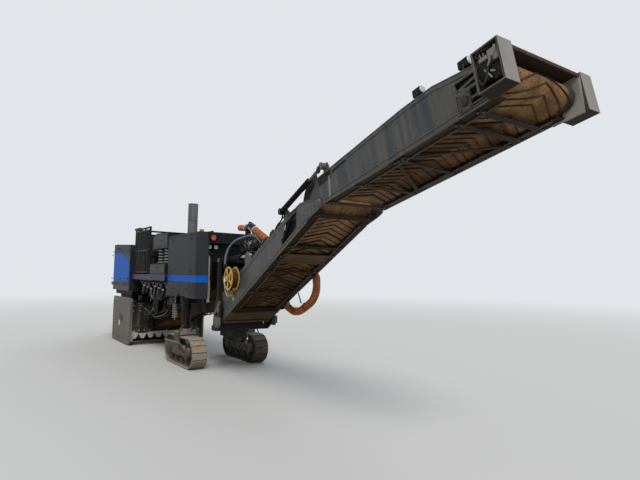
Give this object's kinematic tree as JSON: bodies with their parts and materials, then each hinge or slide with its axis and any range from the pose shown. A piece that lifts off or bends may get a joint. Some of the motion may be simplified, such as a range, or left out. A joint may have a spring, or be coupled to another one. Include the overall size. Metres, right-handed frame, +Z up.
{
  "type": "cold planer",
  "caption": "Compact front-loading cold planer on four crawler tracks, with a slewing and folding truss conveyor, a milling drum with picks, an operator's platform and an opening engine hood.",
  "frame": {"origin": "centre of the bounding box at ground level", "axes": "+X forward towards the conveyor's head, +Y the machine's left, +Z up"},
  "size_m": [12.7641, 2.0238, 3.4085],
  "materials": {
    "painted_dark": "satin charcoal paint, dusty",
    "painted_grey": "worn grey paint under dust",
    "painted_blue": "gloss blue paint",
    "painted_yellow": "gloss yellow paint",
    "crawler_steel": "worn steel under dust",
    "tool_steel": "abraded steel",
    "rod_chrome": "polished",
    "belt_rubber": "rubber under tan dust",
    "belt_black": "matt rubber",
    "duct_plastic": "orange ribbed hose",
    "cast_iron": "cast housings",
    "lamp_plastic": "red-orange lens"
  },
  "bodies": {
    "chassis": {"frame": "painted_dark", "leg_tubes": "painted_dark", "drum_box": "painted_dark", "front_apron": "painted_dark", "front_hood": "painted_dark", "blue_panels": "painted_blue", "exhaust": "painted_grey", "platform": "painted_dark", "railing": "painted_dark", "console": "painted_dark", "engine_bay": "painted_dark", "engine_block": "cast_iron", "rear_grille": "painted_dark", "primary_conveyor": "painted_dark", "primary_belt": "belt_black", "lamps": "lamp_plastic"},
    "hood": {"hood_lid": "painted_dark"},
    "drum": {"milling_drum": "tool_steel"},
    "scraper": {"scraper_door": "painted_dark"},
    "plate_right": {"side_plate_right": "painted_grey"},
    "plate_left": {"side_plate_left": "painted_grey"},
    "track_front_right": {"carriage_front_right": "painted_grey", "crawler_front_right": "crawler_steel"},
    "track_front_left": {"carriage_front_left": "painted_grey", "crawler_front_left": "crawler_steel"},
    "track_rear_right": {"carriage_rear_right": "painted_grey", "crawler_rear_right": "crawler_steel"},
    "track_rear_left": {"carriage_rear_left": "painted_grey", "crawler_rear_left": "crawler_steel"},
    "yoke": {"slew_yoke": "painted_grey"},
    "reel": {"hose_reel": "painted_yellow"},
    "lower_conveyor": {"lower_frame": "painted_dark", "lower_belt": "belt_rubber", "suction_duct": "duct_plastic"},
    "upper_conveyor": {"upper_frame": "painted_dark", "upper_belt": "belt_rubber", "head_drives": "painted_grey"},
    "lift_barrel_r": {"lift_barrel_right": "painted_dark"},
    "lift_rod_r": {"lift_rod_right": "rod_chrome"},
    "lift_barrel_l": {"lift_barrel_left": "painted_dark"},
    "lift_rod_l": {"lift_rod_left": "rod_chrome"},
    "fold_barrel_r": {"fold_barrel_right": "painted_dark"},
    "fold_rod_r": {"fold_rod_right": "rod_chrome"},
    "fold_barrel_l": {"fold_barrel_left": "painted_dark"},
    "fold_rod_l": {"fold_rod_left": "rod_chrome"}
  },
  "joints": [
    {"name": "drum_spin", "type": "hinge", "parent": "chassis", "child": "drum", "pos_m": [-4.33941, 0.1137, 0.47], "axis": [0, 1, 0], "continuous": true},
    {"name": "steer_front_right", "type": "hinge", "parent": "chassis", "child": "track_front_right", "pos_m": [-0.7294, -0.5113, 0.6], "axis": [0, 0, 1], "range_deg": [-25, 25]},
    {"name": "steer_front_left", "type": "hinge", "parent": "chassis", "child": "track_front_left", "pos_m": [-0.7294, 0.7387, 0.6], "axis": [0, 0, 1], "range_deg": [-25, 25]},
    {"name": "steer_rear_right", "type": "hinge", "parent": "chassis", "child": "track_rear_right", "pos_m": [-5.67941, -0.3513, 0.6], "axis": [0, 0, 1], "range_deg": [-18, 18]},
    {"name": "steer_rear_left", "type": "hinge", "parent": "chassis", "child": "track_rear_left", "pos_m": [-5.67941, 0.5787, 0.6], "axis": [0, 0, 1], "range_deg": [-18, 18]},
    {"name": "plate_right_lift", "type": "slide", "parent": "chassis", "child": "plate_right", "axis": [0, 0, 1], "range_m": [0, 0.25]},
    {"name": "plate_left_lift", "type": "slide", "parent": "chassis", "child": "plate_left", "axis": [0, 0, 1], "range_m": [0, 0.25]},
    {"name": "scraper_lift", "type": "slide", "parent": "chassis", "child": "scraper", "axis": [0, 0, 1], "range_m": [0, 0.23]},
    {"name": "hood_open", "type": "hinge", "parent": "chassis", "child": "hood", "pos_m": [-6.3734, 0.1137, 2.277], "axis": [0, -1, 0], "range_deg": [0, 50]},
    {"name": "conveyor_slew", "type": "hinge", "parent": "chassis", "child": "yoke", "pos_m": [0.27059, 0.1137, 0.7], "axis": [0, 0, 1], "range_deg": [-55.26, 64.74]},
    {"name": "conveyor_lift", "type": "hinge", "parent": "yoke", "child": "lower_conveyor", "pos_m": [0.5616, 0.08958, 1.101], "axis": [-0.0826, -0.9966, 0], "range_deg": [-20, 12]},
    {"name": "conveyor_fold", "type": "hinge", "parent": "lower_conveyor", "child": "upper_conveyor", "pos_m": [3.66195, -0.1675, 2.56828], "axis": [0.0826, 0.9966, 0], "range_deg": [-15.36, 60]},
    {"name": "reel_spin", "type": "hinge", "parent": "lower_conveyor", "child": "reel", "pos_m": [1.09867, -0.41553, 1.64938], "axis": [0.0826, 0.9966, 0], "continuous": true},
    {"name": "lift_barrel_r_swing", "type": "hinge", "parent": "yoke", "child": "lift_barrel_r", "pos_m": [0.43644, -0.30644, 1.95], "axis": [-0.0826, -0.9966, 0], "range_deg": [-26, 20]},
    {"name": "lift_rod_r_slide", "type": "slide", "parent": "lift_barrel_r", "child": "lift_rod_r", "axis": [0.9951, -0.0825, 0.054], "range_m": [-0.24, 0.34]},
    {"name": "fold_barrel_r_swing", "type": "hinge", "parent": "lower_conveyor", "child": "fold_barrel_r", "pos_m": [2.74143, -0.58185, 2.55387], "axis": [-0.0826, -0.9966, 0], "range_deg": [-25, 8]},
    {"name": "fold_rod_r_slide", "type": "slide", "parent": "fold_barrel_r", "child": "fold_rod_r", "axis": [0.9171, -0.076, 0.3913], "range_m": [-0.125, 0.36]},
    {"name": "lift_barrel_l_swing", "type": "hinge", "parent": "yoke", "child": "lift_barrel_l", "pos_m": [0.50338, 0.50079, 1.95], "axis": [-0.0826, -0.9966, 0], "range_deg": [-26, 20]},
    {"name": "lift_rod_l_slide", "type": "slide", "parent": "lift_barrel_l", "child": "lift_rod_l", "axis": [0.9951, -0.0825, 0.054], "range_m": [-0.24, 0.34]},
    {"name": "fold_barrel_l_swing", "type": "hinge", "parent": "lower_conveyor", "child": "fold_barrel_l", "pos_m": [2.82225, 0.39281, 2.55387], "axis": [-0.0826, -0.9966, 0], "range_deg": [-25, 8]},
    {"name": "fold_rod_l_slide", "type": "slide", "parent": "fold_barrel_l", "child": "fold_rod_l", "axis": [0.9171, -0.076, 0.3913], "range_m": [-0.125, 0.36]}
  ],
  "couplings": [
    {"joint": "steer_front_left", "follows": "steer_front_right", "ratio": 1},
    {"joint": "steer_rear_left", "follows": "steer_rear_right", "ratio": 1},
    {"joint": "lift_barrel_r_swing", "follows": "conveyor_lift", "ratio": 0.90709},
    {"joint": "lift_rod_r_slide", "follows": "conveyor_lift", "m_per_rad": -0.84127},
    {"joint": "fold_barrel_r_swing", "follows": "conveyor_fold", "ratio": -0.28151},
    {"joint": "fold_rod_r_slide", "follows": "conveyor_fold", "m_per_rad": 0.24332},
    {"joint": "lift_barrel_l_swing", "follows": "conveyor_lift", "ratio": 0.90709},
    {"joint": "lift_rod_l_slide", "follows": "conveyor_lift", "m_per_rad": -0.84127},
    {"joint": "fold_barrel_l_swing", "follows": "conveyor_fold", "ratio": -0.28151},
    {"joint": "fold_rod_l_slide", "follows": "conveyor_fold", "m_per_rad": 0.24332}
  ]
}
